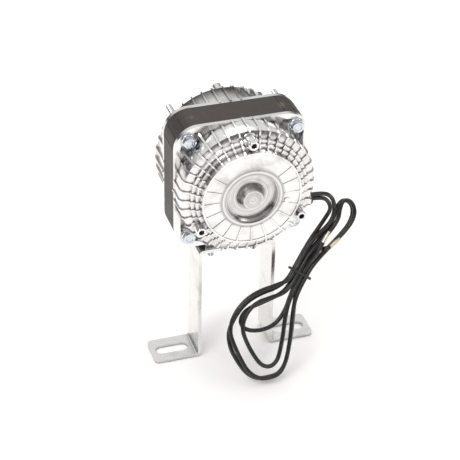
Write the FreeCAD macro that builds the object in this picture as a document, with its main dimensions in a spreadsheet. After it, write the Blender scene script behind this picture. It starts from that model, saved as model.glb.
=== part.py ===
import FreeCAD, Part
import math
import os
import re
import Sketcher
from FreeCAD import Placement, Rotation, Vector

# Square-frame fan motor on two bracket legs, with two leads tied in a hank.
# Frame: +Z up, +Y towards the shaft end, origin on the floor at the centre of the four-foot slot pattern.
# The motor itself is drawn on its own axis: local Z runs along the shaft towards the closed end,
# local Y is up, and one placement stands it on the legs.

doc = FreeCAD.newDocument("fan_motor")
sheet = doc.addObject("Spreadsheet::Sheet", "sizes")

SIZES = {
    # where the motor stands on its legs
    "axis_height": 126.4,
    "motor_side_shift": 2.6,
    "motor_back_shift": 4.0,
    # laminated stator
    "frame_side": 84.0,
    "frame_corner": 15.0,
    "stack_length": 20.0,
    "yoke_bore": 71.0,
    "pole_count": 4,
    "pole_neck": 13.0,
    "pole_shoe_thickness": 4.0,
    "pole_shoe_angle": 74.0,
    "shade_slot_depth": 3.3,
    "shade_slot_width": 2.2,
    "shade_slot_turn": 20.0,
    "bolt_pitch": 67.0,
    "bolt_diameter": 4.0,
    "bolt_hole_gap": 0.5,
    "weld_groove": 0.9,
    # rotor and shaft
    "rotor_diameter": 40.6,
    "air_gap": 0.45,
    "rotor_extra_length": 1.0,
    "bar_count": 16,
    "bar_diameter": 3.2,
    "bar_inset": 1.1,
    "end_ring_length": 3.2,
    "end_ring_wall": 6.0,
    "shaft_diameter": 6.0,
    "shaft_reach": 62.0,
    "shaft_chamfer": 0.6,
    "shaft_fit": 0.2,
    "shaft_groove_gap": 1.4,
    "shaft_groove_width": 0.8,
    "shaft_groove_depth": 0.4,
    # end shields, measured outwards from the face of the stack
    "lip_height": 2.8,
    "lip_width": 3.6,
    "plate_thickness": 1.6,
    "wall_diameter": 84.0,
    "wall_thickness": 2.4,
    "rib_height": 0.9,
    "rib_width": 1.1,
    "rib_pitch_count": 40,
    "front_depth": 23.0,
    "rear_depth": 28.6,
    "shoulder_drop": 7.8,
    "shoulder_round": 2.6,
    "step_one_diameter": 77.4,
    "step_two_diameter": 72.8,
    "step_three_diameter": 67.6,
    "face_diameter": 62.1,
    "step_rise": 1.9,
    "face_wall": 2.2,
    "edge_ring_width": 1.1,
    "edge_ring_height": 0.4,
    "spoke_width": 0.9,
    "spoke_height": 0.4,
    "spoke_count": 20,
    "dish_ring_diameter": 41.0,
    "dish_ring_width": 4.4,
    "dish_ring_height": 0.6,
    "dish_diameter": 31.6,
    "dish_depth": 3.2,
    "hub_diameter": 18.0,
    "hub_top_diameter": 12.4,
    "hub_rise": 5.6,
    "hub_cup_wall": 1.9,
    "pip_diameter": 3.6,
    "pip_height": 0.4,
    "pip_radius": 22.6,
    "pip_angle": -13.0,
    "fan_boss_diameter": 8.2,
    "fan_boss_circle": 72.6,
    "fan_boss_rise": 1.5,
    "fan_boss_bore": 3.3,
    "fan_boss_depth": 9.0,
    "corner_fin_reach": 46.9,
    "corner_fin_turn": 9.0,
    "corner_fin_top": 13.0,
    "foot_lug_height": 3.2,
    "foot_lug_width": 12.0,
    "foot_lug_gap": 0.2,
    "foot_lug_reach": 14.0,
    # bearings
    "bush_length": 8.4,
    "bush_diameter": 13.0,
    "bush_fit": 0.06,
    "bush_seat_gap": 0.1,
    "felt_length": 3.0,
    "hub_ceiling": 0.1,
    "felt_diameter": 11.0,
    "felt_bore_gap": 0.8,
    "clip_thickness": 0.5,
    "washer_thickness": 0.8,
    "washer_diameter": 12.0,
    "washer_bore_gap": 0.2,
    "end_float": 0.3,
    # windings
    "bobbin_wall": 1.0,
    "bobbin_gap": 0.3,
    "bobbin_length": 8.0,
    "coil_thickness": 3.6,
    "coil_end_gap": 0.2,
    "shade_ring_wall": 1.2,
    "shade_ring_gap": 0.3,
    "shade_ring_turn_gap": 4.6,
    # clamp bolts
    "bolt_head_flats": 7.0,
    "bolt_head_height": 2.8,
    "bolt_flange_diameter": 9.0,
    "bolt_flange_height": 1.0,
    "bolt_tail": 5.5,
    "clamp_nut_height": 3.2,
    "thread_gap": 0.1,
    # bracket legs
    "strip_width": 22.0,
    "strip_thickness": 2.2,
    "leg_inner_half": 22.7,
    "foot_reach": 53.0,
    "foot_corner": 3.0,
    "bend_inside": 1.4,
    "flange_length": 14.4,
    "slot_centre": 39.2,
    "slot_length": 21.4,
    "slot_width": 8.4,
    "flange_bolt_inset": 8.9,
    "flange_bolt_diameter": 4.0,
    "flange_bolt_gap": 0.5,
    "flange_bolt_tail": 5.8,
    "flange_head_diameter": 7.6,
    "flange_head_height": 1.8,
    "flange_nut_flats": 7.0,
    "flange_nut_height": 3.2,
    # lead outlet, leads and terminals
    "lead_diameter": 2.7,
    "lead_gap": 0.3,
    "outlet_drop": 16.2,
    "outlet_depth": 7.6,
    "outlet_seat": 41.6,
    "grommet_diameter": 7.4,
    "grommet_flange": 9.4,
    "grommet_gap": 0.2,
    "grommet_out": 1.4,
    "hank_thickness": 9.0,
    "hank_tilt": 23.5,
    "hank_back_reach": 50.2,
    "waist_width": 11.0,
    "tie_width": 5.0,
    "tie_wall": 1.3,
    "terminal_diameter": 2.6,
    "terminal_length": 8.0,
    "terminal_sink": 0.1,
}
for row, (name, value) in enumerate(SIZES.items(), start=1):
    sheet.set("A%d" % row, name)
    sheet.set("B%d" % row, str(value))
    sheet.setAlias("B%d" % row, name)
doc.recompute()

FUNCTIONS = ("sin", "cos", "tan", "sqrt", "min", "max")


def cells(text):
    """Turn plain size names into references to the sheet."""
    swap = lambda word: word.group() if word.group() in FUNCTIONS else "sizes." + word.group()
    return re.sub(r"[a-z][a-z_]+", swap, text)


def size(text):
    """The present value of an expression in the sheet's names."""
    value = sheet.evalExpression(cells(text))
    return float(getattr(value, "Value", value))


def bind(thing, prop, text):
    thing.setExpression(prop, cells(text))




FLOOR_UP = Placement()
MOTOR = Placement(
    Vector(size("motor_side_shift"), size("motor_back_shift"), size("axis_height")),
    Rotation(Vector(1, 0, 0), 90),
)


def spun(turn):
    """The motor's placement turned about its shaft."""
    return MOTOR.multiply(Placement(Vector(), Rotation(Vector(0, 0, 1), turn)))


def new_body(label, placement, separate=False):
    body = doc.addObject("PartDesign::Body", label)
    body.Label = label
    body.AllowCompound = separate
    body.Placement = placement
    return body


def origin(body, role):
    return [item for item in body.Origin.OriginFeatures if item.Role == role][0]


def new_sketch(body, name, plane, shift=(None, None, None)):
    sketch = body.newObject("Sketcher::SketchObject", name)
    sketch.AttachmentSupport = (origin(body, plane), [""])
    sketch.MapMode = "FlatFace"
    for letter, text in zip("xyz", shift):
        if text is not None:
            bind(sketch, "AttachmentOffset.Base." + letter, text)
    return sketch


def locate(sketch, item, spot, across, up):
    """Hold one point of a sketch at two expressions."""
    for kind, text in (("DistanceX", across), ("DistanceY", up)):
        number = sketch.addConstraint(Sketcher.Constraint(kind, -1, 1, item, spot, size(text)))
        bind(sketch, "Constraints[%d]" % number, text)


def polygon(body, name, plane, corners, shift=(None, None, None)):
    """Closed outline whose corners are pairs of expressions."""
    sketch = new_sketch(body, name, plane, shift)
    spots = [Vector(size(across), size(up), 0) for across, up in corners]
    count = len(spots)
    for i in range(count):
        sketch.addGeometry(Part.LineSegment(spots[i], spots[(i + 1) % count]), False)
    for i in range(count):
        sketch.addConstraint(Sketcher.Constraint("Coincident", i, 2, (i + 1) % count, 1))
    for i, (across, up) in enumerate(corners):
        locate(sketch, i, 1, across, up)
    return sketch


def box_outline(body, name, plane, low_across, low_up, high_across, high_up, shift=(None, None, None)):
    corners = [
        (low_across, low_up),
        (high_across, low_up),
        (high_across, high_up),
        (low_across, high_up),
    ]
    return polygon(body, name, plane, corners, shift)


def circles(body, name, plane, items, shift=(None, None, None)):
    """Sketch of circles, each given as centre across, centre up and diameter."""
    sketch = new_sketch(body, name, plane, shift)
    for i, (across, up, diameter) in enumerate(items):
        centre = Vector(size(across), size(up), 0)
        sketch.addGeometry(Part.Circle(centre, Vector(0, 0, 1), size(diameter) / 2), False)
        locate(sketch, i, 3, across, up)
        number = sketch.addConstraint(Sketcher.Constraint("Diameter", i, size(diameter)))
        bind(sketch, "Constraints[%d]" % number, diameter)
    return sketch


def rounded_square(body, name, side, corner, shift=(None, None, None)):
    """Square outline with arc corners, centred on the shaft."""
    sketch = new_sketch(body, name, "XY_Plane", shift)
    half = size(side) / 2
    radius = size(corner)
    inner = half - radius
    quarter = math.pi / 2
    for i in range(4):
        middle = Vector(inner, inner, 0)
        turn = Rotation(Vector(0, 0, 1), 90 * i)
        circle = Part.Circle(turn.multVec(middle), Vector(0, 0, 1), radius)
        sketch.addGeometry(Part.ArcOfCircle(circle, i * quarter, (i + 1) * quarter), False)
    for i in range(4):
        start = sketch.Geometry[i].EndPoint
        end = sketch.Geometry[(i + 1) % 4].StartPoint
        sketch.addGeometry(Part.LineSegment(start, end), False)
    for i in range(4):
        sketch.addConstraint(Sketcher.Constraint("Tangent", i, 2, 4 + i, 1))
        sketch.addConstraint(Sketcher.Constraint("Tangent", 4 + i, 2, (i + 1) % 4, 1))
    centre = "(%s) / 2 - (%s)" % (side, corner)
    signs = (("", ""), ("-", ""), ("-", "-"), ("", "-"))
    for i, (left, down) in enumerate(signs):
        locate(sketch, i, 3, "%s(%s)" % (left, centre), "%s(%s)" % (down, centre))
    number = sketch.addConstraint(Sketcher.Constraint("Radius", 0, radius))
    bind(sketch, "Constraints[%d]" % number, corner)
    return sketch


def pad(body, name, sketch, length, midplane=False, backwards=False):
    feature = body.newObject("PartDesign::Pad", name)
    feature.Profile = sketch
    bind(feature, "Length", length)
    feature.Midplane = midplane
    feature.Reversed = backwards
    return feature


def pocket(body, name, sketch, length, midplane=False, backwards=False):
    feature = body.newObject("PartDesign::Pocket", name)
    feature.Profile = sketch
    bind(feature, "Length", length)
    feature.Midplane = midplane
    feature.Reversed = backwards
    return feature


def turned(body, name, corners, plane="XZ_Plane", shift=(None, None, None), sweep=None):
    """Solid of revolution about the upright axis of its outline."""
    sketch = polygon(body, name + "_outline", plane, corners, shift)
    feature = body.newObject("PartDesign::Revolution", name)
    feature.Profile = sketch
    feature.ReferenceAxis = (sketch, ["V_Axis"])
    feature.Angle = 360
    if sweep:
        bind(feature, "Angle", sweep)
        feature.Midplane = True
    return feature


def turned_cut(body, name, corners, plane="XZ_Plane", shift=(None, None, None)):
    sketch = polygon(body, name + "_outline", plane, corners, shift)
    feature = body.newObject("PartDesign::Groove", name)
    feature.Profile = sketch
    feature.ReferenceAxis = (sketch, ["V_Axis"])
    feature.Angle = 360
    return feature


def around(body, name, features, count, sweep="360"):
    """Repeat features about the shaft."""
    pattern = body.newObject("PartDesign::PolarPattern", name)
    pattern.Originals = features
    pattern.Axis = (origin(body, "Z_Axis"), [""])
    bind(pattern, "Angle", sweep)
    bind(pattern, "Occurrences", count)
    body.Tip = pattern
    return pattern


def hexagon(body, name, flats, across, up, shift):
    """Regular hexagon by its width over flats."""
    corners = []
    for i in range(6):
        cosine = "cos(%d)" % (60 * i)
        sine = "sin(%d)" % (60 * i)
        reach = "(%s) / sqrt(3)" % flats
        corners.append(("%s + %s * %s" % (across, reach, cosine), "%s + %s * %s" % (up, reach, sine)))
    return polygon(body, name, "XY_Plane", corners, shift)


def edges_of(feature, test):
    """Names of the edges that pass a test of their middle point and direction."""
    names = []
    for number, edge in enumerate(feature.Shape.Edges, start=1):
        middle = edge.valueAt((edge.FirstParameter + edge.LastParameter) / 2)
        if test(edge, middle):
            names.append("Edge%d" % number)
    return names


def along(edge, direction):
    if not isinstance(edge.Curve, Part.Line):
        return False
    return abs(abs(edge.Curve.Direction.dot(direction)) - 1) < 0.001


def rounded(body, name, feature, radius, test):
    doc.recompute()
    fillet = body.newObject("PartDesign::Fillet", name)
    fillet.Base = (feature, edges_of(feature, test))
    bind(fillet, "Radius", radius)
    return fillet


# Stator stack: electrical steel laminations pressed into one block, with four salient poles whose
# shoes face the rotor. Each shoe is notched for its shading ring, and grooves run over the corners.
stator = new_body("stator_core", MOTOR)
pad(stator, "yoke_block", rounded_square(stator, "yoke_outline", "frame_side", "frame_corner"), "stack_length", True)
pocket(stator, "yoke_hole", circles(stator, "yoke_hole_outline", "XY_Plane", [("0", "0", "yoke_bore")]),
       "stack_length * 2", True)
neck_outline = box_outline(stator, "neck_outline", "XY_Plane", "rotor_diameter / 2 + air_gap + 1",
                           "-pole_neck / 2", "yoke_bore / 2 + 1", "pole_neck / 2")
neck = pad(stator, "neck", neck_outline, "stack_length", True)
around(stator, "necks", [neck], "pole_count")
SHOE_INSIDE = "rotor_diameter / 2 + air_gap"
SHOE_OUTSIDE = SHOE_INSIDE + " + pole_shoe_thickness"
shoe = turned(stator, "shoe", [
    (SHOE_INSIDE, "-stack_length / 2"),
    (SHOE_OUTSIDE, "-stack_length / 2"),
    (SHOE_OUTSIDE, "stack_length / 2"),
    (SHOE_INSIDE, "stack_length / 2"),
], sweep="pole_shoe_angle")
around(stator, "shoes", [shoe], "pole_count")
SLOT_MIDDLE = "(%s) * sin(shade_slot_turn)" % SHOE_INSIDE
SLOT_FLOOR = "(%s) * cos(shade_slot_turn) + shade_slot_depth" % SHOE_INSIDE
shade_slot = pocket(stator, "shade_slot", box_outline(
    stator, "shade_slot_outline", "XY_Plane",
    "(%s) * cos(shade_slot_turn) - 2" % SHOE_INSIDE, SLOT_MIDDLE + " - shade_slot_width / 2",
    SLOT_FLOOR, SLOT_MIDDLE + " + shade_slot_width / 2"), "stack_length * 2", True)
around(stator, "shade_slots", [shade_slot], "pole_count")
bolt_hole = pocket(stator, "bolt_hole", circles(
    stator, "bolt_hole_outline", "XY_Plane",
    [("bolt_pitch / 2", "bolt_pitch / 2", "bolt_diameter + bolt_hole_gap")]), "stack_length * 2", True)
around(stator, "bolt_holes", [bolt_hole], "4")
GROOVE_START = "frame_side / 2 - frame_corner"
groove_spots = [
    (GROOVE_START, "frame_side / 2"),
    (GROOVE_START + " + frame_corner * sin(28)", GROOVE_START + " + frame_corner * cos(28)"),
    (GROOVE_START + " + frame_corner * sin(56)", GROOVE_START + " + frame_corner * cos(56)"),
]
groove = pocket(stator, "corner_groove", circles(
    stator, "corner_groove_outline", "XY_Plane",
    [(across, up, "weld_groove") for across, up in groove_spots]), "stack_length * 2", True)
around(stator, "corner_grooves", [groove], "4")

# Windings: on each pole neck a moulded bobbin with two cheeks carries a wound copper coil,
# and a closed copper shading ring grips one tip of the pole shoe.
BOBBIN_START = SHOE_OUTSIDE + " + bobbin_gap"
HOLE_ACROSS = "pole_neck / 2 + bobbin_gap"
HOLE_ALONG = "stack_length / 2 + bobbin_gap"
CORE_ACROSS = HOLE_ACROSS + " + bobbin_wall"
CORE_ALONG = HOLE_ALONG + " + bobbin_wall"
CHEEK_ACROSS = CORE_ACROSS + " + coil_thickness + coil_end_gap"
CHEEK_ALONG = CORE_ALONG + " + coil_thickness + coil_end_gap"
SLOT_LEG_ACROSS = SLOT_FLOOR + " - shade_ring_gap - shade_ring_wall / 2"
FREE_LEG_TURN = "(pole_shoe_angle / 2 + shade_ring_turn_gap)"
FREE_LEG_ACROSS = "(%s + pole_shoe_thickness / 2) * cos(%s)" % (SHOE_INSIDE, FREE_LEG_TURN)
FREE_LEG_UP = "(%s + pole_shoe_thickness / 2) * sin(%s)" % (SHOE_INSIDE, FREE_LEG_TURN)
RING_RUN_ACROSS = "%s - (%s)" % (FREE_LEG_ACROSS, SLOT_LEG_ACROSS)
RING_RUN_UP = "%s - (%s)" % (FREE_LEG_UP, SLOT_MIDDLE)


def frame_outline(body, name, half_across, half_along, start):
    return box_outline(body, name, "YZ_Plane", "-(%s)" % half_across, "-(%s)" % half_along,
                       half_across, half_along, (None, None, start))


for number in range(1, int(size("pole_count")) + 1):
    place = spun(360 / size("pole_count") * (number - 1))
    bobbin = new_body("coil_bobbin_%d" % number, place)
    pad(bobbin, "core_%d" % number, frame_outline(bobbin, "core_outline_%d" % number, CORE_ACROSS,
        CORE_ALONG, BOBBIN_START), "bobbin_length - bobbin_wall")
    pad(bobbin, "inner_cheek_%d" % number, frame_outline(bobbin, "inner_cheek_outline_%d" % number,
        CHEEK_ACROSS, CHEEK_ALONG, BOBBIN_START), "bobbin_wall")
    pad(bobbin, "outer_cheek_%d" % number, frame_outline(bobbin, "outer_cheek_outline_%d" % number,
        CHEEK_ACROSS, CHEEK_ALONG, BOBBIN_START + " + bobbin_length - bobbin_wall"), "bobbin_wall")
    pocket(bobbin, "neck_hole_%d" % number, frame_outline(bobbin, "neck_hole_outline_%d" % number,
           HOLE_ACROSS, HOLE_ALONG, BOBBIN_START + " - 1"), "bobbin_length + 2", backwards=True)

    coil = new_body("coil_%d" % number, place)
    coil_start = BOBBIN_START + " + bobbin_wall + coil_end_gap"
    turns = pad(coil, "turns_%d" % number, frame_outline(coil, "turns_outline_%d" % number,
                CORE_ACROSS + " + coil_thickness", CORE_ALONG + " + coil_thickness", coil_start),
                "bobbin_length - bobbin_wall * 2 - coil_end_gap * 2")
    soft = rounded(coil, "soft_corners_%d" % number, turns, "coil_thickness * 0.8",
                   lambda edge, middle: along(edge, Vector(1, 0, 0)))
    pocket(coil, "core_hole_%d" % number, frame_outline(coil, "core_hole_outline_%d" % number,
           CORE_ACROSS + " + coil_end_gap / 2", CORE_ALONG + " + coil_end_gap / 2", BOBBIN_START + " - 1"),
           "bobbin_length + 2", backwards=True)

    ring = new_body("shading_ring_%d" % number, place)
    ring_half = "sqrt((%s)^2 + (%s)^2) / 2" % (RING_RUN_ACROSS, RING_RUN_UP)
    ring_shift = (None, None, "-shade_ring_wall / 2")
    window = "stack_length / 2 + coil_end_gap"
    pad(ring, "ring_plate_%d" % number, box_outline(
        ring, "ring_outline_%d" % number, "YZ_Plane",
        "-(%s) - shade_ring_wall / 2" % ring_half, "-(%s) - shade_ring_wall" % window,
        "%s + shade_ring_wall / 2" % ring_half, "%s + shade_ring_wall" % window, ring_shift), "shade_ring_wall")
    pocket(ring, "ring_window_%d" % number, box_outline(
        ring, "ring_window_outline_%d" % number, "YZ_Plane",
        "-(%s) + shade_ring_wall / 2" % ring_half, "-(%s)" % window,
        "%s - shade_ring_wall / 2" % ring_half, window), "shade_ring_wall * 4", True)
    slot_leg = Vector(size(SLOT_LEG_ACROSS), size(SLOT_MIDDLE), 0)
    free_leg = Vector(size(FREE_LEG_ACROSS), size(FREE_LEG_UP), 0)
    run = free_leg - slot_leg
    ring_turn = math.degrees(math.atan2(run.y, run.x)) - 90
    ring_place = Placement((slot_leg + free_leg) * 0.5, Rotation(Vector(0, 0, 1), ring_turn))
    ring.Placement = place.multiply(ring_place)


# Rotor: a laminated core on the shaft, with a cast aluminium cage whose bars run through the core
# between two end rings.
BAR_CIRCLE = "rotor_diameter / 2 - bar_inset - bar_diameter / 2"
HALF_CORE = "(stack_length + rotor_extra_length) / 2"
core = new_body("rotor_core", MOTOR)
pad(core, "core_block", circles(core, "core_outline", "XY_Plane", [("0", "0", "rotor_diameter")]),
    "stack_length + rotor_extra_length", True)
pocket(core, "shaft_hole", circles(core, "shaft_hole_outline", "XY_Plane",
       [("0", "0", "shaft_diameter + shaft_fit")]), "stack_length * 2", True)
bar_hole = pocket(core, "bar_hole", circles(core, "bar_hole_outline", "XY_Plane",
                  [(BAR_CIRCLE, "0", "bar_diameter + shaft_fit")]), "stack_length * 2", True)
around(core, "bar_holes", [bar_hole], "bar_count")

cage = new_body("rotor_cage", MOTOR)
RING_OUTSIDE = "rotor_diameter / 2 - bar_inset / 2"
for name, start, end in (
    ("front_ring", HALF_CORE, HALF_CORE + " + end_ring_length"),
    ("rear_ring", "-(%s) - end_ring_length" % HALF_CORE, "-(%s)" % HALF_CORE),
):
    turned(cage, name, [
        (RING_OUTSIDE + " - end_ring_wall", start),
        (RING_OUTSIDE, start),
        (RING_OUTSIDE, end),
        (RING_OUTSIDE + " - end_ring_wall", end),
    ])
    if name == "front_ring":
        bar = pad(cage, "bar", circles(cage, "bar_outline", "XY_Plane", [(BAR_CIRCLE, "0", "bar_diameter")]),
                  "stack_length + rotor_extra_length + end_ring_length", True)
        around(cage, "bars", [bar], "bar_count")

# Shaft: ground steel rod, blind end under the closed hub, long end out through the rear hub with a
# shallow ring groove just outside it.
BUSH_OUTER = "depth - hub_ceiling - felt_length"


def from_stack(text, side):
    """A length measured outwards from the stack face, for one of the two end shields."""
    return re.sub(r"\bdepth\b", side + "_depth", text)


FRONT_BUSH_END = "stack_length / 2 + " + from_stack(BUSH_OUTER, "front")
REAR_BUSH_END = "stack_length / 2 + " + from_stack(BUSH_OUTER, "rear")
GROOVE_END = "-(stack_length / 2 + rear_depth - dish_depth + hub_rise + shaft_groove_gap + shaft_groove_width)"
shaft = new_body("shaft", MOTOR)
turned(shaft, "shaft_rod", [
    ("0", "-shaft_reach"),
    ("shaft_diameter / 2 - shaft_chamfer", "-shaft_reach"),
    ("shaft_diameter / 2", "-shaft_reach + shaft_chamfer"),
    ("shaft_diameter / 2", GROOVE_END),
    ("shaft_diameter / 2 - shaft_groove_depth", GROOVE_END),
    ("shaft_diameter / 2 - shaft_groove_depth", GROOVE_END + " + shaft_groove_width"),
    ("shaft_diameter / 2", GROOVE_END + " + shaft_groove_width"),
    ("shaft_diameter / 2", FRONT_BUSH_END + " + felt_length - 0.5 - shaft_chamfer"),
    ("shaft_diameter / 2 - shaft_chamfer", FRONT_BUSH_END + " + felt_length - 0.5"),
    ("0", FRONT_BUSH_END + " + felt_length - 0.5"),
])

# Bearings, alike at both ends: a barrel-shaped sintered bush in a cast cup, an oil felt behind it,
# a spring clip in the mouth of the cup, and a thrust washer and spacer on the shaft.
sides = (("front", FRONT_BUSH_END, ""), ("rear", REAR_BUSH_END, "-"))
for side, bush_end, flip in sides:
    bush_start = "(%s - bush_length)" % bush_end
    place = MOTOR if side == "front" else spun(0).multiply(Placement(Vector(), Rotation(Vector(0, 1, 0), 180)))
    bush = new_body(side + "_bearing", place)
    bore = "shaft_diameter / 2 + bush_fit / 2"
    turned(bush, side + "_bush", [
        (bore, bush_start),
        ("bush_diameter / 2 - bush_length / 4", bush_start),
        ("bush_diameter / 2 - bush_length / 20", bush_start + " + bush_length / 4"),
        ("bush_diameter / 2", bush_start + " + bush_length / 2"),
        ("bush_diameter / 2 - bush_length / 20", bush_end + " - bush_length / 4"),
        ("bush_diameter / 2 - bush_length / 4", bush_end),
        (bore, bush_end),
    ])
    felt = new_body(side + "_oil_felt", place)
    turned(felt, side + "_felt_ring", [
        ("shaft_diameter / 2 + felt_bore_gap", bush_end + " + coil_end_gap"),
        ("felt_diameter / 2", bush_end + " + coil_end_gap"),
        ("felt_diameter / 2", bush_end + " + felt_length"),
        ("shaft_diameter / 2 + felt_bore_gap", bush_end + " + felt_length"),
    ])
    clip = new_body(side + "_bearing_clip", place)
    turned(clip, side + "_clip_disc", [
        ("bush_diameter / 2 - bush_length / 4 + bush_seat_gap", bush_start + " - clip_thickness"),
        ("bush_diameter / 2", bush_start + " - clip_thickness"),
        ("bush_diameter / 2", bush_start),
        ("bush_diameter / 2 - bush_length / 4 + bush_seat_gap", bush_start),
    ])
    washer = new_body(side + "_thrust_washer", place)
    washer_end = bush_start + " - clip_thickness - end_float"
    turned(washer, side + "_washer_disc", [
        ("(shaft_diameter + washer_bore_gap) / 2", washer_end + " - washer_thickness"),
        ("washer_diameter / 2", washer_end + " - washer_thickness"),
        ("washer_diameter / 2", washer_end),
        ("(shaft_diameter + washer_bore_gap) / 2", washer_end),
    ])
    spacer = new_body(side + "_spacer", place)
    turned(spacer, side + "_spacer_tube", [
        ("(shaft_diameter + washer_bore_gap) / 2", HALF_CORE),
        ("washer_diameter / 2", HALF_CORE),
        ("washer_diameter / 2", washer_end + " - washer_thickness"),
        ("(shaft_diameter + washer_bore_gap) / 2", washer_end + " - washer_thickness"),
    ])

# Legs: two alike Z-shaped strips of zinc-plated steel. A slotted foot points outwards on the floor, a
# leg stands up, and a flange turns inwards under the cast feet.
FLANGE_TOP = "axis_height - frame_side / 2 - foot_lug_height"
LEG_INSIDE = "-leg_inner_half"
LEG_OUTSIDE = "-leg_inner_half - strip_thickness"
leg_turns = (("left", 0), ("right", 180))
for side, turn in leg_turns:
    bracket = new_body(side + "_bracket", Placement(Vector(), Rotation(Vector(0, 0, 1), turn)))
    strip = pad(bracket, side + "_strip", polygon(bracket, side + "_strip_outline", "XZ_Plane", [
        ("-foot_reach", "0"),
        (LEG_INSIDE, "0"),
        (LEG_INSIDE, FLANGE_TOP + " - strip_thickness"),
        (LEG_INSIDE + " + flange_length", FLANGE_TOP + " - strip_thickness"),
        (LEG_INSIDE + " + flange_length", FLANGE_TOP),
        (LEG_OUTSIDE, FLANGE_TOP),
        (LEG_OUTSIDE, "strip_thickness"),
        ("-foot_reach", "strip_thickness"),
    ]), "strip_width", True)
    inner_bends = ((size(LEG_INSIDE), size(FLANGE_TOP + " - strip_thickness")),
                   (size(LEG_OUTSIDE), size("strip_thickness")))
    outer_bends = ((size(LEG_INSIDE), 0), (size(LEG_OUTSIDE), size(FLANGE_TOP)))
    near = lambda middle, spots: any(abs(middle.x - x) + abs(middle.z - z) < 0.01 for x, z in spots)
    bent = rounded(bracket, side + "_inner_bends", strip, "bend_inside",
                   lambda edge, middle: along(edge, Vector(0, 1, 0)) and near(middle, inner_bends))
    bent = rounded(bracket, side + "_outer_bends", bent, "bend_inside + strip_thickness",
                   lambda edge, middle: along(edge, Vector(0, 1, 0)) and near(middle, outer_bends))
    rounded(bracket, side + "_strip_corners", bent, "foot_corner",
            lambda edge, middle: along(edge, Vector(0, 0, 1)) and
            abs(middle.x) != abs(size(LEG_INSIDE)) and abs(middle.y) > size("strip_width / 2 - 0.01") and
            not size(LEG_OUTSIDE) - 0.01 < middle.x < size(LEG_INSIDE) + 0.01)
    half_run = "(slot_length - slot_width) / 2"
    pocket(bracket, side + "_slot_middle", box_outline(
        bracket, side + "_slot_middle_outline", "XY_Plane", "-slot_centre - " + half_run, "-slot_width / 2",
        "-slot_centre + " + half_run, "slot_width / 2"), "strip_thickness * 3", True)
    pocket(bracket, side + "_slot_ends", circles(bracket, side + "_slot_ends_outline", "XY_Plane", [
        ("-slot_centre - " + half_run, "0", "slot_width"),
        ("-slot_centre + " + half_run, "0", "slot_width")]), "strip_thickness * 3", True)
    pocket(bracket, side + "_flange_hole", circles(bracket, side + "_flange_hole_outline", "XY_Plane", [
        ("-leg_inner_half + flange_bolt_inset", "0", "flange_bolt_diameter + flange_bolt_gap")],
        (None, None, FLANGE_TOP)), "strip_thickness * 2")

# End shields: pressure die-cast aluminium. A square lipped plate bolts to the stack; a ribbed drum
# rises from it over a shoulder and two steps to a spoked face with a dished hub.
# Heights here are measured outwards from the face of the stack.
FLOOR = "(depth - dish_depth)"
LAND = "(depth - shoulder_drop)"
HUB_TOP = "(%s + hub_rise)" % FLOOR
CUP_MOUTH = "(%s - bush_length - clip_thickness * 2)" % BUSH_OUTER
WALL_OUT = "wall_diameter / 2"
WALL_IN = "(wall_diameter / 2 - wall_thickness)"
RISER = "0.3"
CEILING = "(%s + step_rise * 0.2 - face_wall)" % LAND

shield_profile = [
    ("0", HUB_TOP),
    ("hub_top_diameter / 2", HUB_TOP),
    ("hub_diameter / 2", FLOOR),
    ("dish_diameter / 2", FLOOR),
    ("dish_diameter / 2 + %s" % RISER, "depth"),
    ("dish_ring_diameter / 2 - dish_ring_width * 0.75", "depth + dish_ring_height"),
    ("dish_ring_diameter / 2 - dish_ring_width * 0.25", "depth + dish_ring_height"),
    ("dish_ring_diameter / 2", "depth"),
    ("face_diameter / 2 - edge_ring_width", "depth"),
    ("face_diameter / 2 - edge_ring_width", "depth + edge_ring_height"),
    ("face_diameter / 2", "depth + edge_ring_height"),
    ("face_diameter / 2 + " + RISER, LAND + " + step_rise * 2.2"),
    ("step_three_diameter / 2", LAND + " + step_rise * 2.2"),
    ("step_three_diameter / 2 + " + RISER, LAND + " + step_rise * 1.2"),
    ("step_two_diameter / 2", LAND + " + step_rise * 1.2"),
    ("step_two_diameter / 2 + " + RISER, LAND + " + step_rise * 0.2"),
    ("step_one_diameter / 2", LAND),
    (WALL_OUT + " - shoulder_round * 0.35", LAND + " - shoulder_round * 0.35"),
    (WALL_OUT, LAND + " - shoulder_round"),
    (WALL_OUT, "0"),
    (WALL_IN, "0"),
    (WALL_IN, CEILING + " - shoulder_round"),
    (WALL_IN + " - shoulder_round * 0.8", CEILING),
    ("face_diameter / 2 - face_wall * 1.4", "depth - face_wall"),
    ("dish_ring_diameter / 2 + face_wall * 0.3", "depth - face_wall"),
    ("dish_diameter / 2 + face_wall * 0.9", FLOOR + " - face_wall"),
    ("bush_diameter / 2 + bush_seat_gap + hub_cup_wall * 2", FLOOR + " - face_wall"),
    ("bush_diameter / 2 + bush_seat_gap + hub_cup_wall", FLOOR + " - face_wall * 2"),
    ("bush_diameter / 2 + bush_seat_gap + hub_cup_wall", CUP_MOUTH),
    ("bush_diameter / 2 + bush_seat_gap", CUP_MOUTH),
    ("bush_diameter / 2 + bush_seat_gap", BUSH_OUTER),
    ("felt_diameter / 2 + bush_seat_gap", BUSH_OUTER),
    ("felt_diameter / 2 + bush_seat_gap", "depth + coil_end_gap - hub_ceiling"),
    ("0", "depth + coil_end_gap - hub_ceiling"),
]


def turn_sketch(sketch, turn):
    """Swing an upright sketch about the shaft."""
    sketch.AttachmentOffset = Placement(sketch.AttachmentOffset.Base, Rotation(Vector(0, 1, 0), turn))


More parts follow.
